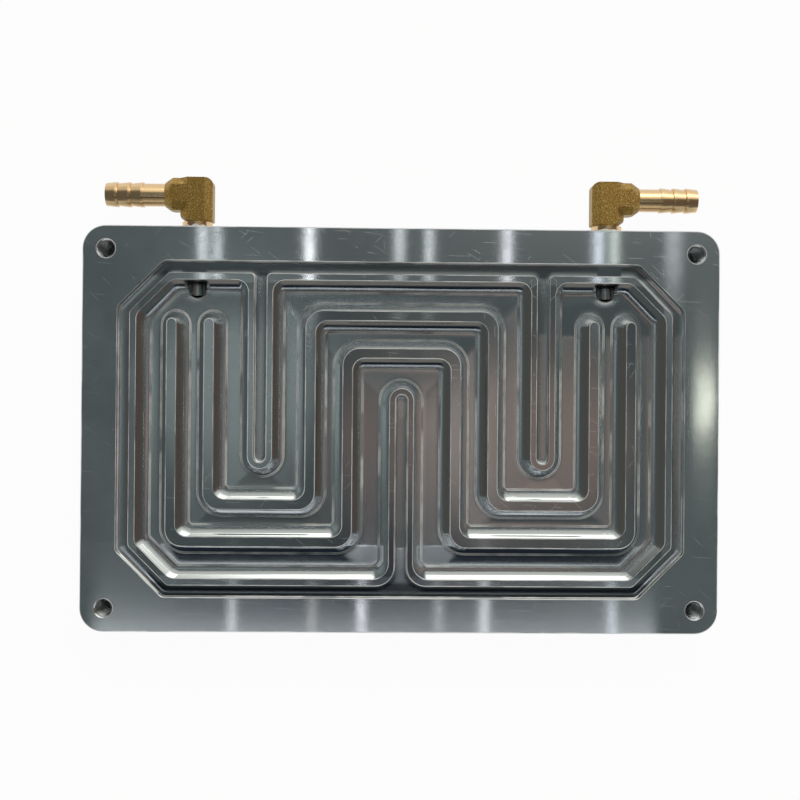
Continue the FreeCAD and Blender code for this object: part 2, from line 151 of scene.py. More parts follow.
aluminium = {
    "metal": "#ccd1d2", "shade": "#bbc0c1",        # the face, in soft clouds of the two
    "channelShade": "#aab0b1", "ribTopShade": "#9ea4a5",         # painted shade: the channels, and the ribs between them, darker than the face
    "groove": "#666c6e",                           # painted shade on the long runs of the seal groove
    "scratch": "#dfe3e3",
    "cloud": 31.25 * mm,
    "faceRough": (0.07, 0.09), "cutRough": (0.09, 0.12), "scratchRough": 0.18,
    "relief": 0.006 * mm,
    "faceLine": 0.35 * mm,       # real feed lines are near 0.1 mm; coarser, so that they show
    "faceLineLength": 40 * mm, "faceLineShare": 0.3,
    "faceWave": 0.9 * mm,        # the slow waviness that splits a streak into bright threads
    "faceWaveLength": 111 * mm, "faceWaveShare": 0.03,
    "rub": 3.85 * mm,            # unevenness of the channels' walls and floors
    "tick": 0.75 * mm,           # the cutter's feed along a channel
    "tickShare": 0.25,
    "pass": 0.8 * mm,            # the cutter's passes down a wall, one below the other
    "passLength": 83.3 * mm, "passShare": 6.0,
    "edge": 0.12 * mm,           # worn edges that catch the light
    "cove": 3.6 * mm,            # how widely the channel walls run out into the floor
    "coveLean": 0.6,             # how far the walls that face the middle lean their reflections up
    "outwardLean": 0.86,         # and those that face the plate's rim
    "fall": 0.09,                # slope of the lowest run's floor, away from its rib
    "trough": 5.2 * mm,          # half the width that a port's bore takes in its pocket
    "troughFrom": 54 * mm,
    "grooveDepth": 2.6 * mm,
    "grooveRun": 61.5 * mm,      # the groove's long runs lie beyond this, from the plate's middle
    # where the cutter runs along X: beyond these diagonals and past the pockets' sides
    "turns": {"upper": 4 * mm, "lowerOuter": 45 * mm, "lowerInner": 74 * mm, "pocket": 41 * mm,
              "pocketInner": 56 * mm, "blend": 3 * mm},
    # scratches on the face: angle, cell length, cell width, share of cells that hold one
    "scratches": ((4, 12 * mm, 1.6 * mm, 0.14), (37, 8 * mm, 2.6 * mm, 0.10),
                  (-49, 7 * mm, 3.0 * mm, 0.10), (83, 8 * mm, 3.4 * mm, 0.06)),
    "scratchWidth": 0.05 * mm,
}


def plateZones(tree, place):
    # where a point lies on the plate, in nodes that the functions below share
    xyz = add(tree, "ShaderNodeSeparateXYZ", {0: place}).outputs
    zones = {"x": xyz[0], "y": xyz[1], "z": xyz[2]}
    zones["reach"] = add(tree, "ShaderNodeMath", {0: xyz[0]}, operation="ABSOLUTE")
    zones["rise"] = add(tree, "ShaderNodeMath", {0: xyz[1]}, operation="ABSOLUTE")
    front = add(tree, "ShaderNodeMapRange", {
        "Value": xyz[2], "From Min": faceHeight - 0.25 * mm, "From Max": faceHeight - 0.1 * mm,
    }, interpolation_type="SMOOTHSTEP")
    back = add(tree, "ShaderNodeMapRange", {
        "Value": xyz[2], "From Min": 0.25 * mm, "From Max": 0.1 * mm,
    }, interpolation_type="SMOOTHSTEP")
    zones["onFace"] = add(tree, "ShaderNodeMath", {0: front, 1: back}, operation="MAXIMUM")
    zones["inside"] = within(tree, zones, plateHigh.x - 15 * mm, plateHigh.y - 15 * mm)
    zones["alongX"] = cutAlongX(tree, zones)
    return zones


def within(tree, zones, reach, rise):
    # 1 inside a rectangle about the plate's middle, falling to 0 over its last millimetre
    across = add(tree, "ShaderNodeMapRange", {
        "Value": zones["reach"], "From Min": reach, "From Max": reach - mm,
    }, interpolation_type="SMOOTHSTEP")
    up = add(tree, "ShaderNodeMapRange", {
        "Value": zones["rise"], "From Min": rise, "From Max": rise - mm,
    }, interpolation_type="SMOOTHSTEP")
    return add(tree, "ShaderNodeMath", {0: across, 1: up}, operation="MULTIPLY")


def cutAlongX(tree, zones):
    turns = aluminium["turns"]
    blend = turns["blend"]
    above = add(tree, "ShaderNodeMath", {0: zones["y"], 1: zones["reach"]}, operation="SUBTRACT")
    upper = add(tree, "ShaderNodeMapRange", {
        "Value": above, "From Min": turns["upper"] - blend, "From Max": turns["upper"] + blend,
    }, interpolation_type="SMOOTHSTEP")
    down = add(tree, "ShaderNodeMath", {0: zones["y"], 1: -1.0}, operation="MULTIPLY")
    outer = add(tree, "ShaderNodeMath", {0: down, 1: zones["reach"]}, operation="SUBTRACT")
    outer = add(tree, "ShaderNodeMath", {0: outer, 1: turns["lowerOuter"]}, operation="ADD")
    inner = add(tree, "ShaderNodeMath", {0: down, 1: zones["reach"]}, operation="ADD")
    inner = add(tree, "ShaderNodeMath", {0: inner, 1: turns["lowerInner"]}, operation="SUBTRACT")
    lower = add(tree, "ShaderNodeMath", {0: outer, 1: inner}, operation="MINIMUM")
    lower = add(tree, "ShaderNodeMapRange", {
        "Value": lower, "From Min": -blend, "From Max": blend,
    }, interpolation_type="SMOOTHSTEP")
    high = add(tree, "ShaderNodeMapRange", {
        "Value": zones["y"], "From Min": turns["pocket"] - blend, "From Max": turns["pocket"],
    }, interpolation_type="SMOOTHSTEP")
    wide = add(tree, "ShaderNodeMapRange", {
        "Value": zones["reach"],
        "From Min": turns["pocketInner"] - blend, "From Max": turns["pocketInner"],
    }, interpolation_type="SMOOTHSTEP")
    pocket = add(tree, "ShaderNodeMath", {0: high, 1: wide}, operation="MULTIPLY")
    channels = add(tree, "ShaderNodeMath", {0: upper, 1: lower}, operation="MAXIMUM")
    return add(tree, "ShaderNodeMath", {0: channels, 1: pocket}, operation="MAXIMUM")


def cutTangent(tree, zones, facing):
    # in a channel light spreads along the cut: the tangent follows the wall on a fillet, and the
    # channel on its floor. On the face it spreads across the lines.
    floorWay = add(tree, "ShaderNodeMix", {
        "Factor": zones["alongX"], "A": (0.01, 0.1, 0.0), "B": (0.1, 0.01, 0.0),
    }, data_type="VECTOR")
    aside = add(tree, "ShaderNodeMath", {0: facing[1], 1: -1.0}, operation="MULTIPLY")
    wallWay = add(tree, "ShaderNodeCombineXYZ", {"X": aside, "Y": facing[0]})
    sense = add(tree, "ShaderNodeVectorMath", {0: wallWay, 1: floorWay}, operation="DOT_PRODUCT")
    sense = add(tree, "ShaderNodeMath", {0: sense}, operation="SIGN")
    wallWay = add(tree, "ShaderNodeVectorMath", {0: wallWay, "Scale": sense}, operation="SCALE")
    way = add(tree, "ShaderNodeVectorMath", {0: wallWay, 1: floorWay}, operation="ADD")
    way = add(tree, "ShaderNodeMix", {
        "Factor": zones["onFace"], "A": way, "B": (0.0, 1.0, 0.0),
    }, data_type="VECTOR")
    return add(tree, "ShaderNodeVectorMath", {0: way}, operation="NORMALIZE")


def cutRelief(tree, place, zones, facing):
    # fine lines of the face cutter and its slow waviness, and the ticks and passes in the channels
    lines = grain(tree, place, (aluminium["faceLineLength"], aluminium["faceLine"], 1.0), 3.0, 0.7)
    lines = add(tree, "ShaderNodeMath", {0: lines, 1: aluminium["faceLineShare"]}, operation="MULTIPLY")
    waves = grain(tree, place, (aluminium["faceWave"], aluminium["faceWaveLength"], 1.0), 1.0)
    waves = add(tree, "ShaderNodeMath", {0: waves, 1: aluminium["faceWaveShare"]}, operation="MULTIPLY")
    onFace = add(tree, "ShaderNodeMath", {0: lines, 1: waves}, operation="ADD")

    travel = add(tree, "ShaderNodeMix", {"Factor": zones["alongX"], "A": zones["y"], "B": zones["x"]})
    ticks = add(tree, "ShaderNodeMath", {
        0: travel, 1: math.tau / aluminium["tick"],
    }, operation="MULTIPLY")
    ticks = add(tree, "ShaderNodeMath", {0: ticks}, operation="SINE")
    ticks = add(tree, "ShaderNodeMath", {0: ticks, 1: aluminium["tickShare"]}, operation="MULTIPLY")
    passSize = (aluminium["passLength"], aluminium["passLength"], aluminium["pass"])
    passes = grain(tree, place, passSize, 2.0, 0.6)
    passes = add(tree, "ShaderNodeMath", {0: passes, 1: aluminium["passShare"]}, operation="MULTIPLY")
    marks = add(tree, "ShaderNodeMath", {0: ticks, 1: passes}, operation="ADD")
    sloping = add(tree, "ShaderNodeMapRange", {
        "Value": facing[2], "From Min": 0.99, "From Max": 0.9,
    }, interpolation_type="SMOOTHSTEP")
    notSteep = add(tree, "ShaderNodeMapRange", {
        "Value": facing[2], "From Min": 0.1, "From Max": 0.3,
    }, interpolation_type="SMOOTHSTEP")
    onFillet = add(tree, "ShaderNodeMath", {0: sloping, 1: notSteep}, operation="MULTIPLY")
    marks = add(tree, "ShaderNodeMath", {0: marks, 1: onFillet}, operation="MULTIPLY")
    rub = grain(tree, place, (aluminium["rub"],) * 3, 3.0, 0.6)
    inChannel = add(tree, "ShaderNodeMath", {0: rub, 1: marks}, operation="ADD")
    return add(tree, "ShaderNodeMix", {"Factor": zones["onFace"], "A": inChannel, "B": onFace})


def scratchLayer(tree, place, angle, length, width, share):
    # a lattice of cells, some holding one thin line with its own slope, length and place
    turned = add(tree, "ShaderNodeMapping", {"Vector": place, "Rotation": (0, 0, math.radians(angle))})
    xyz = add(tree, "ShaderNodeSeparateXYZ", {0: turned}).outputs
    along = add(tree, "ShaderNodeMath", {0: xyz[0], 1: length}, operation="DIVIDE")
    side = add(tree, "ShaderNodeMath", {0: xyz[1], 1: width}, operation="DIVIDE")
    column = add(tree, "ShaderNodeMath", {0: along}, operation="FLOOR")
    row = add(tree, "ShaderNodeMath", {0: side}, operation="FLOOR")
    cell = add(tree, "ShaderNodeCombineXYZ", {"X": column, "Y": row, "Z": float(angle)})
    draw = add(tree, "ShaderNodeTexWhiteNoise", {"Vector": cell}, noise_dimensions="3D")
    draw = add(tree, "ShaderNodeSeparateColor", {0: draw.outputs["Color"]}).outputs

    u = add(tree, "ShaderNodeMath", {0: along}, operation="FRACT")
    u = add(tree, "ShaderNodeMath", {0: u, 1: 0.5}, operation="SUBTRACT")
    v = add(tree, "ShaderNodeMath", {0: side}, operation="FRACT")
    v = add(tree, "ShaderNodeMath", {0: v, 1: 0.5}, operation="SUBTRACT")
    slope = add(tree, "ShaderNodeMath", {0: draw[0], 1: 0.5}, operation="SUBTRACT")
    middle = add(tree, "ShaderNodeMath", {0: slope, 1: u}, operation="MULTIPLY")
    away = add(tree, "ShaderNodeMath", {0: v, 1: middle}, operation="SUBTRACT")
    away = add(tree, "ShaderNodeMath", {0: away}, operation="ABSOLUTE")
    thin = aluminium["scratchWidth"] / width
    line = add(tree, "ShaderNodeMapRange", {
        "Value": away, "From Min": thin, "From Max": 0.5 * thin,
    }, interpolation_type="SMOOTHSTEP")
    half = add(tree, "ShaderNodeMath", {0: draw[1], 1: 0.5}, operation="MULTIPLY")
    out = add(tree, "ShaderNodeMath", {0: u}, operation="ABSOLUTE")
    left = add(tree, "ShaderNodeMath", {0: half, 1: out}, operation="SUBTRACT")
    ends = add(tree, "ShaderNodeMapRange", {
        "Value": left, "From Min": 0.0, "From Max": 0.12,
    }, interpolation_type="SMOOTHSTEP")
    line = add(tree, "ShaderNodeMath", {0: line, 1: ends}, operation="MULTIPLY")
    chosen = add(tree, "ShaderNodeMath", {0: draw[2], 1: share}, operation="LESS_THAN")
    return add(tree, "ShaderNodeMath", {0: line, 1: chosen}, operation="MULTIPLY")


def faceScratches(tree, place, zones):
    marks = 0.0
    for layer in aluminium["scratches"]:
        one = scratchLayer(tree, place, *layer)
        marks = add(tree, "ShaderNodeMath", {0: one, 1: marks}, operation="MAXIMUM")
    return add(tree, "ShaderNodeMath", {0: marks, 1: zones["onFace"]}, operation="MULTIPLY")


def coveZones(tree, zones, facing):
    # where a channel is coved, which is all of it but the ports' troughs, and the foot of each wall
    below = add(tree, "ShaderNodeMapRange", {
        "Value": zones["z"], "From Min": faceHeight - 0.2 * mm, "From Max": faceHeight - 0.5 * mm,
    }, interpolation_type="SMOOTHSTEP")
    coved = add(tree, "ShaderNodeMath", {0: zones["inside"], 1: below}, operation="MULTIPLY")
    high = add(tree, "ShaderNodeMapRange", {
        "Value": zones["y"],
        "From Min": aluminium["troughFrom"], "From Max": aluminium["troughFrom"] + mm,
    }, interpolation_type="SMOOTHSTEP")
    aside = add(tree, "ShaderNodeMath", {0: zones["reach"], 1: portAside}, operation="SUBTRACT")
    aside = add(tree, "ShaderNodeMath", {0: aside}, operation="ABSOLUTE")
    narrow = add(tree, "ShaderNodeMapRange", {
        "Value": aside, "From Min": aluminium["trough"], "From Max": aluminium["trough"] - 0.5 * mm,
    }, interpolation_type="SMOOTHSTEP")
    trough = add(tree, "ShaderNodeMath", {0: high, 1: narrow}, operation="MULTIPLY")
    clear = add(tree, "ShaderNodeMath", {0: 1.0, 1: trough}, operation="SUBTRACT")
    coved = add(tree, "ShaderNodeMath", {0: coved, 1: clear}, operation="MULTIPLY")
    flat = add(tree, "ShaderNodeMapRange", {
        "Value": facing[2], "From Min": 0.75, "From Max": 0.95,
    }, interpolation_type="SMOOTHSTEP")
    foot = add(tree, "ShaderNodeMath", {0: coved, 1: flat}, operation="MULTIPLY")
    return coved, foot


def covedNormal(tree, zones, facing):
    # the cutter leaves the channel walls widely coved, so they mirror the tent above them, and
    # walls that face the plate's rim lean back further than those that face its middle
    coved, foot = coveZones(tree, zones, facing)
    rounded = add(tree, "ShaderNodeBevel", {"Radius": aluminium["edge"]}, samples=6)
    cove = add(tree, "ShaderNodeBevel", {"Radius": aluminium["cove"]}, samples=8)
    leaning = add(tree, "ShaderNodeMix", {"Factor": foot, "A": rounded, "B": cove}, data_type="VECTOR")

    sideX = add(tree, "ShaderNodeMath", {0: zones["x"]}, operation="SIGN")
    sideX = add(tree, "ShaderNodeMath", {0: facing[0], 1: sideX}, operation="MULTIPLY")
    sideY = add(tree, "ShaderNodeMath", {0: zones["y"]}, operation="SIGN")
    sideY = add(tree, "ShaderNodeMath", {0: facing[1], 1: sideY}, operation="MULTIPLY")
    outward = add(tree, "ShaderNodeMath", {0: sideX, 1: sideY}, operation="MAXIMUM")
    outward = add(tree, "ShaderNodeMapRange", {
        "Value": outward, "From Min": 0.05, "From Max": 0.3,
    }, interpolation_type="SMOOTHSTEP")
    lean = add(tree, "ShaderNodeMix", {
        "Factor": outward, "A": aluminium["coveLean"], "B": aluminium["outwardLean"],
    })
    lean = add(tree, "ShaderNodeMath", {0: coved, 1: lean}, operation="MULTIPLY")
    leaning = add(tree, "ShaderNodeMix", {
        "Factor": lean, "A": leaning, "B": (0.0, 0.0, 1.0),
    }, data_type="VECTOR")

    # the lowest run's floor falls away from its rib
    lowest = add(tree, "ShaderNodeMapRange", {
        "Value": zones["y"],
        "From Min": lowestRibSide + 0.7 * mm, "From Max": lowestRibSide - 0.8 * mm,
    }, interpolation_type="SMOOTHSTEP")
    lowest = add(tree, "ShaderNodeMath", {0: foot, 1: lowest}, operation="MULTIPLY")
    fall = add(tree, "ShaderNodeVectorMath", {
        0: (0.0, -aluminium["fall"], 0.0), "Scale": lowest,
    }, operation="SCALE")
    leaning = add(tree, "ShaderNodeVectorMath", {0: leaning, 1: fall}, operation="ADD")
    return add(tree, "ShaderNodeVectorMath", {0: leaning}, operation="NORMALIZE")


def milledColour(tree, zones, clouds, marks):
    cloudy = add(tree, "ShaderNodeMapRange", {
        "Value": clouds, "From Min": 0.35, "From Max": 0.7,
    }, interpolation_type="SMOOTHSTEP")
    metal = add(tree, "ShaderNodeMix", {
        "Factor": cloudy, "A": colour(aluminium["metal"]), "B": colour(aluminium["shade"]),
    }, data_type="RGBA")
    # painted shade: the channels, and the rib tops between them, are coloured darker than the face
    ribs = within(tree, zones, channelReach - 0.2 * mm, channelRise - 0.2 * mm)
    top = add(tree, "ShaderNodeMix", {
        "Factor": ribs, "A": metal, "B": colour(aluminium["ribTopShade"]),
    }, data_type="RGBA")
    middle = add(tree, "ShaderNodeMix", {
        "Factor": zones["onFace"], "A": colour(aluminium["channelShade"]), "B": top,
    }, data_type="RGBA")
    metal = add(tree, "ShaderNodeMix", {
        "Factor": zones["inside"], "A": metal, "B": middle,
    }, data_type="RGBA")
    # painted shade on the groove's floor and its fillets, on the long runs only
    floorHeight = faceHeight - aluminium["grooveDepth"]
    above = add(tree, "ShaderNodeMapRange", {
        "Value": zones["z"], "From Min": floorHeight + 0.2 * mm, "From Max": floorHeight + 0.05 * mm,
    }, interpolation_type="SMOOTHSTEP")
    under = add(tree, "ShaderNodeMapRange", {
        "Value": zones["z"], "From Min": floorHeight - 0.4 * mm, "From Max": floorHeight - 0.05 * mm,
    }, interpolation_type="SMOOTHSTEP")
    run = add(tree, "ShaderNodeMapRange", {
        "Value": zones["rise"],
        "From Min": aluminium["grooveRun"], "From Max": aluminium["grooveRun"] + 2 * mm,
    }, interpolation_type="SMOOTHSTEP")
    paintedDim = add(tree, "ShaderNodeMath", {0: above, 1: under}, operation="MULTIPLY")
    paintedDim = add(tree, "ShaderNodeMath", {0: paintedDim, 1: run}, operation="MULTIPLY")
    metal = add(tree, "ShaderNodeMix", {
        "Factor": paintedDim, "A": metal, "B": colour(aluminium["groove"]),
    }, data_type="RGBA")
    return add(tree, "ShaderNodeMix", {
        "Factor": marks, "A": metal, "B": colour(aluminium["scratch"]),
    }, data_type="RGBA")


def milledRoughness(tree, zones, clouds, marks):
    smooth, rough = aluminium["faceRough"]
    onFace = add(tree, "ShaderNodeMapRange", {
        "Value": clouds, "From Min": 0.3, "From Max": 0.7, "To Min": smooth, "To Max": rough,
    }, interpolation_type="SMOOTHSTEP")
    smooth, rough = aluminium["cutRough"]
    inChannel = add(tree, "ShaderNodeMapRange", {
        "Value": clouds, "From Min": 0.3, "From Max": 0.7, "To Min": smooth, "To Max": rough,
    }, interpolation_type="SMOOTHSTEP")
    plain = add(tree, "ShaderNodeMix", {"Factor": zones["onFace"], "A": inChannel, "B": onFace})
    marks = add(tree, "ShaderNodeMath", {0: marks, 1: aluminium["scratchRough"]}, operation="MULTIPLY")
    return add(tree, "ShaderNodeMath", {0: plain, 1: marks}, operation="ADD")


def makeAluminium():
    material, tree, place = newMaterial("milledAluminium")
    normal = add(tree, "ShaderNodeNewGeometry").outputs["Normal"]
    facing = add(tree, "ShaderNodeSeparateXYZ", {0: normal}).outputs
    zones = plateZones(tree, place)
    clouds = grain(tree, place, (aluminium["cloud"],) * 3, 4.0, 0.6)
    marks = faceScratches(tree, place, zones)
    bump = add(tree, "ShaderNodeBump", {
        "Strength": 1.0, "Distance": aluminium["relief"],
        "Height": cutRelief(tree, place, zones, facing), "Normal": covedNormal(tree, zones, facing),
    })
    shader = add(tree, "ShaderNodeBsdfPrincipled", {
        "Metallic": 1.0, "Base Color": milledColour(tree, zones, clouds, marks),
        "Roughness": milledRoughness(tree, zones, clouds, marks), "Normal": bump,
        "Anisotropic": 1.0, "Tangent": cutTangent(tree, zones, facing),
    })
    add(tree, "ShaderNodeOutputMaterial", {"Surface": shader})
    return material


# The same metal on the raised burrs and steps, coloured near white as a painted highlight along the
# edges, brighter and dimmer in patches: smooth, with a fine ragged glitter.

edgeGlint = {
    "bright": "#fdffff", "paintedDim": "#a7adae", "patch": 22.2 * mm, "glitter": 0.667 * mm,
    "rough": (0.28, 0.42), "relief": 0.008 * mm,
    "metallic": 0.12,            # low, so that a line no wider than a hair, painted near white as a highlight, still reads as bright
}


def makeEdgeGlint():
    material, tree, place = newMaterial("paintedEdgeGlint")
    # painted highlight: near white in some patches, dimmer in others
    glintPatch = add(tree, "ShaderNodeMapRange", {
        "Value": grain(tree, place, (edgeGlint["patch"],) * 3), "From Min": 0.4, "From Max": 0.52,
    }, interpolation_type="SMOOTHSTEP")
    shown = add(tree, "ShaderNodeMix", {
        "Factor": glintPatch, "A": colour(edgeGlint["paintedDim"]), "B": colour(edgeGlint["bright"]),
    }, data_type="RGBA")
    glitter = grain(tree, place, (edgeGlint["glitter"],) * 3, 1.0)
    smooth, rough = edgeGlint["rough"]
    roughness = add(tree, "ShaderNodeMapRange", {
        "Value": glitter, "From Min": 0.3, "From Max": 0.7, "To Min": smooth, "To Max": rough,
    }, interpolation_type="SMOOTHSTEP")
    bump = add(tree, "ShaderNodeBump", {
        "Strength": 1.0, "Distance": edgeGlint["relief"], "Height": glitter,
    })
    shader = add(tree, "ShaderNodeBsdfPrincipled", {
        "Metallic": edgeGlint["metallic"], "Base Color": shown, "Roughness": roughness, "Normal": bump,
    })
    add(tree, "ShaderNodeOutputMaterial", {"Surface": shader})
    return material


# Hot-forged brass, shot-blasted to a coarse dimpled skin: painted shade darkens its dimples and painted
# glints lighten its raised grains.
# The barb and the threaded shank are turned from the same piece and bright, and fine rings run round the
# barb.

brass = {
    "metal": "#b0904f", "paintedPitShade": "#8c6f38", "glint": "#e8cf96", "turned": "#dfc094",
    "forgedRough": 0.42, "turnedRough": 0.21,
    "pit": 0.5 * mm,             # shot-blast dimples
    "ring": 0.25 * mm,           # the turning tool's feed
    "ringShare": 0.03, "relief": 0.035 * mm, "edge": 0.1 * mm,
    "armEnd": mounts["outlet_barb"]["pos_m"][0] - 20.0 * mm,    # the turned barb starts here
    "riserEnd": plateHigh.y + 2.6 * mm,                         # and the turned shank here
}


def makeBrass():
    material, tree, place = newMaterial("forgedBrass")
    xyz = add(tree, "ShaderNodeSeparateXYZ", {0: place}).outputs
    reach = add(tree, "ShaderNodeMath", {0: xyz[0]}, operation="ABSOLUTE")
    barb = add(tree, "ShaderNodeMapRange", {
        "Value": reach,
        "From Min": brass["armEnd"] - 0.02 * mm, "From Max": brass["armEnd"] + 0.02 * mm,
    }, interpolation_type="SMOOTHSTEP")
    shank = add(tree, "ShaderNodeMapRange", {
        "Value": xyz[1],
        "From Min": brass["riserEnd"] + 0.02 * mm, "From Max": brass["riserEnd"] - 0.02 * mm,
    }, interpolation_type="SMOOTHSTEP")
    turned = add(tree, "ShaderNodeMath", {0: barb, 1: shank}, operation="MAXIMUM")

    pits = grain(tree, place, (brass["pit"],) * 3, 3.0, 0.6)
    # painted shade in the dimples and painted glints on the raised grains, from the same pits as the
    # bump
    hollow = add(tree, "ShaderNodeMapRange", {
        "Value": pits, "From Min": 0.38, "From Max": 0.6,
    }, interpolation_type="SMOOTHSTEP")
    proud = add(tree, "ShaderNodeMapRange", {
        "Value": pits, "From Min": 0.6, "From Max": 0.68,
    }, interpolation_type="SMOOTHSTEP")
    skin = add(tree, "ShaderNodeMix", {
        "Factor": hollow, "A": colour(brass["paintedPitShade"]), "B": colour(brass["metal"]),
    }, data_type="RGBA")
    skin = add(tree, "ShaderNodeMix", {
        "Factor": proud, "A": skin, "B": colour(brass["glint"]),
    }, data_type="RGBA")
    skin = add(tree, "ShaderNodeMix", {
        "Factor": turned, "A": skin, "B": colour(brass["turned"]),
    }, data_type="RGBA")
    roughness = add(tree, "ShaderNodeMix", {
        "Factor": turned, "A": brass["forgedRough"], "B": brass["turnedRough"],
    })
    rings = grain(tree, place, (brass["ring"], 1.0, 1.0), 1.0)
    rings = add(tree, "ShaderNodeMath", {0: rings, 1: brass["ringShare"]}, operation="MULTIPLY")
    bump = add(tree, "ShaderNodeBump", {
        "Strength": 1.0, "Distance": brass["relief"],
        "Height": add(tree, "ShaderNodeMix", {"Factor": turned, "A": pits, "B": rings}),
        "Normal": add(tree, "ShaderNodeBevel", {"Radius": brass["edge"]}, samples=6),
    })
    shader = add(tree, "ShaderNodeBsdfPrincipled", {
        "Metallic": 1.0, "Base Color": skin, "Roughness": roughness, "Normal": bump,
    })
    add(tree, "ShaderNodeOutputMaterial", {"Surface": shader})
    return material


# White film of fluoroplastic, wound on the thread and squeezed out at the port's mouth:
# matt, slightly see-through, with grey and brown from handling.

tape = {
    "film": "#f0eeea", "stain": "#cfc4b6", "rough": 0.55, "milky": 0.2, "milkyDepth": 0.5 * mm,
    "foldLength": 1.11 * mm, "fold": 0.385 * mm, "foldRelief": 0.2 * mm,
    "layer": 0.3 * mm,
    "show": 0.9 * mm,            # how far the rim stands out of the port
    "fray": 0.35 * mm, "bulge": 0.12 * mm,
    "around": 96, "along": 20,
    # the fray is a sum of waves round the rim: where they start, in radians, how many go round
    # and how large they are is drawn from these
    "waves": 6, "waveStarts": (0, 6.28), "waveCounts": (2, 3, 5, 7, 11), "waveSizes": (0.15, 0.5),
    "seeds": {"inlet": 11, "outlet": 23},
}


def makeFilm():
    material, tree, place = newMaterial("threadTapeFilm")
    folds = grain(tree, place, (tape["foldLength"], tape["fold"], tape["foldLength"]), 3.0)
    stained = add(tree, "ShaderNodeMapRange", {
        "Value": folds, "From Min": 0.45, "From Max": 0.75,
    }, interpolation_type="SMOOTHSTEP")
    shown = add(tree, "ShaderNodeMix", {
        "Factor": stained, "A": colour(tape["film"]), "B": colour(tape["stain"]),
    }, data_type="RGBA")
    bump = add(tree, "ShaderNodeBump", {
        "Strength": 0.8, "Distance": tape["foldRelief"], "Height": folds,
    })
    shader = add(tree, "ShaderNodeBsdfPrincipled", {
        "Base Color": shown, "Roughness": tape["rough"], "Normal": bump,
        "Subsurface Weight": tape["milky"], "Subsurface Scale": tape["milkyDepth"],
    })
    add(tree, "ShaderNodeOutputMaterial", {"Surface": shader})
    return material


milledAluminium, paintedEdgeGlint = makeAluminium(), makeEdgeGlint()
forgedBrass, threadTapeFilm = makeBrass(), makeFilm()


def dress(node, material):
    slots = frame["nodes"][node].material_slots
    if not slots:
        frame["nodes"][node].data.materials.append(material)
    for slot in slots:
        slot.material = material


dress("channel_plate", milledAluminium)
dress("inlet_elbow", forgedBrass)
dress("outlet_elbow", forgedBrass)
print("finishes made")


def finishPiece(piece):
    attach(piece, "root")


def addMesh(name, vertices, faces, material):
    mesh = bpy.data.meshes.new(name)
    mesh.from_pydata(vertices, [], faces)
    mesh.materials.append(material)
    for face in mesh.polygons:
        face.use_smooth = True
    return mesh


def addObject(name, data):
    made = bpy.data.objects.new(name, data)
    bpy.context.scene.collection.objects.link(made)
    return made


def makeTape(end, seed):
    # a closed sleeve whose outer skin is wrinkled and whose rim is frayed
    node = end + "_thread_tape"
    low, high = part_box(node)
    centre = (low + high) / 2
    radius = (high.x - low.x) / 2
    mouth = plateHigh.y
    noise = random.Random(seed)
    waves = [(noise.uniform(*tape["waveStarts"]), noise.choice(tape["waveCounts"]),
              noise.uniform(*tape["waveSizes"])) for _ in range(tape["waves"])]
    vertices, faces = [], []
    around, along = tape["around"], tape["along"]
    for thickness in (0.0, tape["layer"]):
        for ring in range(along + 1):
            for turn in range(around):
                angle = math.tau * turn / around
                wave = sum(size * math.sin(count * angle + phase) for phase, count, size in waves)
                rim = mouth + tape["show"] + tape["fray"] * wave
                y = low.y + (rim - low.y) * ring / along
                out = max(0.0, y - mouth) / tape["show"]
                r = radius + tape["bulge"] * out * wave - thickness
                vertices.append((centre.x + r * math.cos(angle), y, centre.z + r * math.sin(angle)))
    inner = (along + 1) * around     # number of the inner skin's first vertex
    last = along * around
    for turn in range(around):
        after = (turn + 1) % around
        for ring in range(along):
            a, b = ring * around + turn, ring * around + after
            faces.append((a, a + around, b + around, b))
            faces.append((inner + a, inner + b, inner + b + around, inner + a + around))
        faces.append((turn, after, inner + after, inner + turn))
        faces.append((last + turn, inner + last + turn, inner + last + after, last + after))
    name = end + "_tape_wrap"
    piece = addObject(name, addMesh(name, vertices, faces, threadTapeFilm))
    finishPiece(piece)
    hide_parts(node)


for tapeEnd, tapeSeed in tape["seeds"].items():
    makeTape(tapeEnd, tapeSeed)
print("tape wound")


def newTree(name, numbers):
    # an empty tree with a geometry in and out, named numbers and a material
    tree = bpy.data.node_groups.new(name, "GeometryNodeTree")
    tree.interface.new_socket("Geometry", in_out="OUTPUT", socket_type="NodeSocketGeometry")
    tree.interface.new_socket("Geometry", in_out="INPUT", socket_type="NodeSocketGeometry")
    for number in numbers:
        tree.interface.new_socket(number, in_out="INPUT", socket_type="NodeSocketFloat")
    tree.interface.new_socket("Material", in_out="INPUT", socket_type="NodeSocketMaterial")
    return tree, add(tree, "NodeGroupInput").outputs


def endTree(tree, given, mesh):
    whole = add(tree, "GeometryNodeRealizeInstances", {0: mesh})
    painted = add(tree, "GeometryNodeSetMaterial", {"Geometry": whole, "Material": given["Material"]})
    add(tree, "NodeGroupOutput", {0: painted})
    return tree


def grow(name, tree, values, base=None):
    # runs a tree on a mesh and keeps its result as a plain mesh at the origin
    piece = addObject(name, base or bpy.data.meshes.new(name))
    modifier = piece.modifiers.new("grown", "NODES")
    modifier.node_group = tree
    for item in tree.interface.items_tree:
        if item.in_out == "INPUT" and item.name in values:
            modifier[item.identifier] = values[item.name]
    bpy.context.view_layer.update()
    mesh = bpy.data.meshes.new_from_object(piece.evaluated_get(bpy.context.evaluated_depsgraph_get()))
    piece.modifiers.clear()
    piece.data = mesh
    return piece


def repeatMesh(piece, places):
    vertices, faces = [], []
    for place in places:
        start = len(vertices)
        vertices += [place @ vertex.co for vertex in piece.data.vertices]
        faces += [[start + index for index in face.vertices] for face in piece.data.polygons]
    piece.data = addMesh(piece.name, vertices, faces, piece.data.materials[0])


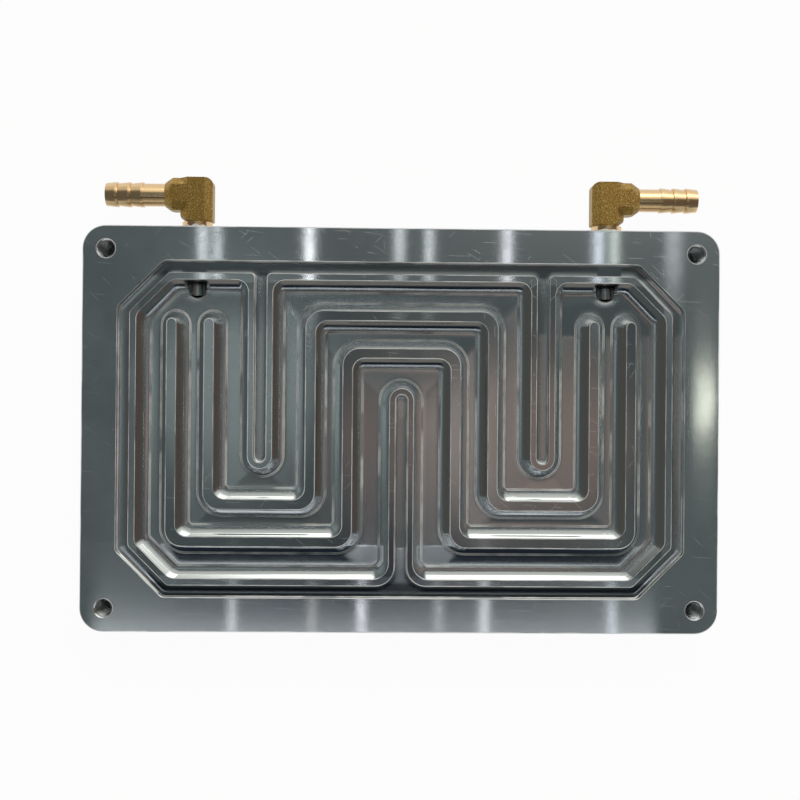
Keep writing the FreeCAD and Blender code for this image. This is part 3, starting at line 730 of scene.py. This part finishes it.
# the crests of the threads in the corner holes and on the elbows' shanks
thread = {
    "pointsPerTurn": 40, "sides": 6,
    "cornerPitch": 1.25 * mm, "cornerBead": 0.24 * mm, "cornerInset": 1.1 * mm,
    "shankPitch": 1.337 * mm, "shankBead": 0.28 * mm, "shankLength": 6.6 * mm, "shankDepth": 7.4 * mm,
}


def threadTree():
    # a bead that winds along Z from the origin, for a thread's crest
    tree, given = newTree("threadBead", ("Radius", "Pitch", "Length", "Bead"))
    turns = add(tree, "ShaderNodeMath", {0: given["Length"], 1: given["Pitch"]}, operation="DIVIDE")
    spiral = add(tree, "GeometryNodeCurveSpiral", {
        "Resolution": thread["pointsPerTurn"], "Rotations": turns,
        "Start Radius": given["Radius"], "End Radius": given["Radius"], "Height": given["Length"],
    })
    profile = add(tree, "GeometryNodeCurvePrimitiveCircle", {
        "Resolution": thread["sides"], "Radius": given["Bead"],
    })
    bead = add(tree, "GeometryNodeCurveToMesh", {
        "Curve": spiral, "Profile Curve": profile, "Fill Caps": True,
    })
    return endTree(tree, given, bead)


def makeThreads():
    tree = threadTree()
    holes = mounts["corner_holes"]["dims"]
    halfX, halfY = holes["spacing_x_mm"] * mm / 2, holes["spacing_y_mm"] * mm / 2
    piece = grow("corner_threads", tree, {
        "Radius": holes["hole_r_mm"] * mm, "Pitch": thread["cornerPitch"],
        "Length": faceHeight - 2 * thread["cornerInset"], "Bead": thread["cornerBead"],
        "Material": milledAluminium,
    })
    repeatMesh(piece, [Matrix.Translation((signX * halfX, signY * halfY, thread["cornerInset"]))
                       for signX in (-1, 1) for signY in (-1, 1)])
    finishPiece(piece)
    for end in ("inlet", "outlet"):
        low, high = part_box(end + "_thread_tape")
        centre = (low + high) / 2
        piece = grow(end + "_shank_thread", tree, {
            "Radius": (high.x - low.x) / 2 - tape["layer"], "Pitch": thread["shankPitch"],
            "Length": thread["shankLength"], "Bead": thread["shankBead"], "Material": forgedBrass,
        })
        place = Matrix.Translation((centre.x, plateHigh.y - thread["shankDepth"], centre.z))
        repeatMesh(piece, [place @ Matrix.Rotation(-math.pi / 2, 4, "X")])
        finishPiece(piece)


makeThreads()
print("threads cut")


# where a fillet's cutter has run past the floor it leaves a fine raised line along its path, and
# the face's edges keep a burr
step = {
    # name: depth below the face, radius of the line
    "lines": {
        "cutter_steps": (11.5 * mm, 0.24 * mm),
        "groove_corners": (aluminium["grooveDepth"], 0.28 * mm),
        "edge_burrs": (0.03 * mm, 0.11 * mm),
    },
    "spacing": 0.8 * mm,             # between points along a line
    "ragged": 6.25 * mm,             # length of its thick and thin stretches
    "thin": 0.75, "thick": 1.15,     # their size, times the radius
    "seed": 0.0,
    "sides": 5,
    "crease": 0.05,                  # radians between two faces, from which an edge gets a line
    "levelRoom": 0.05 * mm, "weld": 0.002 * mm,
}


def stepTree():
    tree, given = newTree("cutterStep", ("Level", "Bead", "Spacing", "Ragged", "Seed"))
    merged = add(tree, "GeometryNodeMergeByDistance", {
        "Geometry": given["Geometry"], "Distance": step["weld"],
    })
    chosen = add(tree, "FunctionNodeCompare", {
        "A": add(tree, "GeometryNodeInputMeshEdgeAngle"), "B": step["crease"],
    }, data_type="FLOAT", operation="GREATER_THAN")
    ends = add(tree, "GeometryNodeInputMeshEdgeVertices").outputs
    for name in ("Position 1", "Position 2"):
        height = add(tree, "ShaderNodeSeparateXYZ", {0: ends[name]}).outputs["Z"]
        level = add(tree, "FunctionNodeCompare", {
            "A": height, "B": given["Level"], "Epsilon": step["levelRoom"],
        }, data_type="FLOAT", operation="EQUAL")
        chosen = add(tree, "FunctionNodeBooleanMath", {0: chosen, 1: level}, operation="AND")
    path = add(tree, "GeometryNodeMeshToCurve", {"Mesh": merged, "Selection": chosen})
    path = add(tree, "GeometryNodeResampleCurve", {
        "Curve": path, "Length": given["Spacing"],
    }, mode="LENGTH")
    place = add(tree, "ShaderNodeVectorMath", {
        0: add(tree, "GeometryNodeInputPosition"), 1: given["Seed"],
    }, operation="ADD")
    scale = add(tree, "ShaderNodeMath", {0: 1.0, 1: given["Ragged"]}, operation="DIVIDE")
    rough = add(tree, "ShaderNodeTexNoise", {"Vector": place, "Scale": scale, "Detail": 1.0})
    size = add(tree, "ShaderNodeMapRange", {
        "Value": rough, "From Min": 0.3, "From Max": 0.7,
        "To Min": step["thin"], "To Max": step["thick"],
    }, interpolation_type="SMOOTHSTEP")
    profile = add(tree, "GeometryNodeCurvePrimitiveCircle", {
        "Resolution": step["sides"], "Radius": given["Bead"],
    })
    bead = add(tree, "GeometryNodeCurveToMesh", {
        "Curve": path, "Profile Curve": profile, "Scale": size, "Fill Caps": True,
    })
    return endTree(tree, given, bead)


def makeSteps():
    tree = stepTree()
    for name, (depth, bead) in step["lines"].items():
        # each line wears the near-white painted edge highlight
        piece = grow(name, tree, {
            "Level": faceHeight - depth, "Bead": bead, "Spacing": step["spacing"],
            "Ragged": step["ragged"], "Seed": step["seed"], "Material": paintedEdgeGlint,
        }, frame["nodes"]["channel_plate"].data.copy())
        finishPiece(piece)
        print(name + ":", len(piece.data.polygons), "faces")


makeSteps()


# A tent of dark and light cloth stands over the plate, for the metal to mirror. Its skirt is
# open, so low reflections see the white surroundings.

studio = {
    "floor": "#f6f6f4", "floorSize": 6.0, "floorGlow": 0.96, "daylight": 0.7,
    "tentRadius": 2.6, "tentAround": 48, "tentAlong": 14,
    "skirt": 13.0,               # degrees above the floor where the cloth begins
    "cloth": "#646b6c",
    # patches of the cloth, each over the one before: direction, degrees from it where the patch
    # is full and where it ends, colour and brightness
    "patches": (
        ((-1.0, 0.0, 0.3), 40, 54, "#696661", 1.0),
        ((1.0, 0.0, 0.35), 40, 52, "#6c6059", 1.0),
        ((-0.15, 0.02, 1.0), 3, 6, "#b3bcbc", 1.1),
        ((0.0, -1.0, 2.2), 15, 19, "#262d39", 1.0),
        ((0.01, -0.03, 1.0), 2, 4.5, "#a08b85", 1.0),
        ((0.11, -0.03, 1.0), 3, 5, "#c4b0a9", 1.3),
        ((0.18, -0.03, 1.0), 2.5, 5, "#b3998f", 1.1),
        ((0.0, -1.0, 0.6), 16, 26, "#b5aca4", 0.7),
        ((0.25, 1.0, 0.7), 34, 44, "#fbf8f0", 1.1),
        ((0.5, 1.0, 0.75), 18, 29, "#fbf8f0", 1.35),
    ),
    # lamps overhead, each drawn out into a streak by the face's lines. Given by their mirror
    # image on the face: x, y, width and length in mm, then brightness and tint
    "lampHeight": 1.5,
    "lamps": (
        (-81.3, 76, 2.6, 40, 1.9, "#fbfdff"), (-75.5, 80, 1.2, 44, 3.2, "#fbfdff"),
        (-38.1, 80, 1.6, 48, 5.5, "#fdfdff"), (-1.4, 78, 3.4, 44, 1.1, "#fbfdff"),
        (10.8, 76, 2.6, 40, 1.4, "#fbfdff"), (42.6, 80, 2.4, 48, 2.6, "#fdf8ff"),
        (80.0, 78, 3.0, 44, 1.9, "#eef4ff"), (86.5, 78, 2.4, 44, 1.5, "#f6fff4"),
        (111.0, 76, 6.0, 30, 0.7, "#fbfdff"), (-68.3, -86, 2.0, 40, 1.7, "#fbfdff"),
        (-35.7, -86, 1.6, 40, 1.4, "#fff8f2"), (-15.7, -86, 2.0, 44, 2.6, "#fdf8ff"),
        (15.7, -86, 2.2, 40, 1.2, "#fbfdff"), (34.4, -84, 2.6, 44, 2.0, "#fbfdff"),
        (86.6, -86, 2.0, 44, 2.0, "#f4f8ff"), (-10.0, -100, 230.0, 30, 1.3, "#f4f6f8"),
        (124.0, 13, 8.0, 12, 3.4, "#fbf9e6"),
    ),
    # a window beyond the plate's far edge: place, width, height, brightness and tint
    "window": ((0.4, 1.7, 1.4), 1.6, 0.8, 2.2, "#fbf8f0"),
}


def makeTentCloth():
    # plain cloth lit from behind: it glows evenly, and only its colours change from place to place
    material, tree, place = newMaterial("tentCloth")
    direction = add(tree, "ShaderNodeVectorMath", {0: place}, operation="NORMALIZE")
    total = colour(studio["cloth"])
    for axis, full, end, tint, level in studio["patches"]:
        facing = add(tree, "ShaderNodeVectorMath", {
            0: direction, 1: Vector(axis).normalized(),
        }, operation="DOT_PRODUCT")
        share = add(tree, "ShaderNodeMapRange", {
            "Value": facing, "From Min": math.cos(math.radians(end)),
            "From Max": math.cos(math.radians(full)),
        }, interpolation_type="SMOOTHSTEP")
        total = add(tree, "ShaderNodeMix", {
            "Factor": share, "A": total, "B": [part * level for part in colour(tint)],
        }, data_type="RGBA")
    glow = add(tree, "ShaderNodeEmission", {"Color": total, "Strength": 1.0})
    add(tree, "ShaderNodeOutputMaterial", {"Surface": glow})
    material.cycles.emission_sampling = "NONE"
    return material


def makeTent():
    around, along, radius = studio["tentAround"], studio["tentAlong"], studio["tentRadius"]
    low = math.radians(studio["skirt"])
    vertices, faces = [], []
    for ring in range(along):
        rise = low + (math.pi / 2 - low) * ring / along
        for part in range(around):
            turn = math.tau * part / around
            vertices.append((radius * math.cos(rise) * math.cos(turn),
                             radius * math.cos(rise) * math.sin(turn), radius * math.sin(rise)))
    for part in range(around):
        after = (part + 1) % around
        for ring in range(along - 1):
            a, b = ring * around + part, ring * around + after
            faces.append((a, b, b + around, a + around))
        top = (along - 1) * around
        faces.append((top + part, top + after, len(vertices)))
    vertices.append((0, 0, radius))
    mesh = bpy.data.meshes.new("tent")
    mesh.from_pydata(vertices, [], faces)
    mesh.materials.append(makeTentCloth())
    tent = addObject("tent", mesh)
    tent.visible_camera = False
    tent.visible_shadow = False


def whiteRays(tree):
    # the rays that see a plain white background: from the camera, off metal and through film
    rays = add(tree, "ShaderNodeLightPath").outputs
    seen = add(tree, "ShaderNodeMath", {
        0: rays["Is Camera Ray"], 1: rays["Is Glossy Ray"],
    }, operation="MAXIMUM")
    return add(tree, "ShaderNodeMath", {0: seen, 1: rays["Is Transmission Ray"]}, operation="MAXIMUM")


def makeWorld():
    world = bpy.data.worlds.new("surroundings")
    bpy.context.scene.world = world
    world.use_nodes = True
    tree = world.node_tree
    tree.nodes.clear()
    strength = add(tree, "ShaderNodeMix", {"Factor": whiteRays(tree), "A": studio["daylight"], "B": 1.0})
    background = add(tree, "ShaderNodeBackground", {"Color": (1, 1, 1, 1), "Strength": strength})
    add(tree, "ShaderNodeOutputWorld", {"Surface": background})


def makeFloor():
    # matt paper, white to the rays above, but dark under the plate, where it lies in shadow
    material, tree, place = newMaterial("paperFloor")
    xyz = add(tree, "ShaderNodeSeparateXYZ", {0: place}).outputs
    clear = 0.0
    for axis in (0, 1):
        away = add(tree, "ShaderNodeMath", {0: xyz[axis]}, operation="ABSOLUTE")
        away = add(tree, "ShaderNodeMath", {
            0: away, 1: plateHigh[axis] - 2 * mm,
        }, operation="GREATER_THAN")
        clear = add(tree, "ShaderNodeMath", {0: away, 1: clear}, operation="MAXIMUM")
    shown = add(tree, "ShaderNodeMath", {0: whiteRays(tree), 1: clear}, operation="MULTIPLY")
    shown = add(tree, "ShaderNodeMath", {0: shown, 1: studio["floorGlow"]}, operation="MULTIPLY")
    paper = add(tree, "ShaderNodeBsdfPrincipled", {
        "Base Color": colour(studio["floor"]), "Roughness": 0.9, "Specular IOR Level": 0.1,
    })
    glow = add(tree, "ShaderNodeEmission", {"Color": (1, 1, 1, 1), "Strength": 1.0})
    mixed = add(tree, "ShaderNodeMixShader", {0: shown, 1: paper, 2: glow})
    add(tree, "ShaderNodeOutputMaterial", {"Surface": mixed})
    half = studio["floorSize"] / 2
    level = cadBounds[0][2] - 0.05 * mm
    mesh = bpy.data.meshes.new("floor")
    mesh.from_pydata([(-half, -half, level), (half, -half, level), (half, half, level),
                      (-half, half, level)], [], [(0, 1, 2, 3)])
    mesh.materials.append(material)
    addObject("floor", mesh)


def addLamp(name, place, target, width, length, brightness, tint):
    light = bpy.data.lights.new(name, "AREA")
    light.shape = "RECTANGLE"
    light.size, light.size_y = width, length
    light.energy = brightness * math.pi * width * length
    light.color = colour(tint)[:3]
    lamp = addObject(name, light)
    turn = (target - place).to_track_quat("-Z", "Y").to_matrix().to_4x4()
    lamp.matrix_world = Matrix.Translation(place) @ turn
    lamp.visible_camera = False


def makeLamps():
    spread = 1 + studio["lampHeight"] / (cameraPlace.z - faceHeight)
    for number, (x, y, width, length, brightness, tint) in enumerate(studio["lamps"]):
        place = Vector((cameraPlace.x + (x * mm - cameraPlace.x) * spread,
                        cameraPlace.y + (y * mm - cameraPlace.y) * spread,
                        faceHeight + studio["lampHeight"]))
        addLamp("streak%d" % number, place, place - Vector((0, 0, 1)), width * mm * spread,
                length * mm * spread, brightness, tint)
    place, width, height, brightness, tint = studio["window"]
    addLamp("window", Vector(place), Vector((0, 0, 0)), width, height, brightness, tint)


makeFloor()
makeWorld()
makeTent()
makeLamps()
print("stage lit")
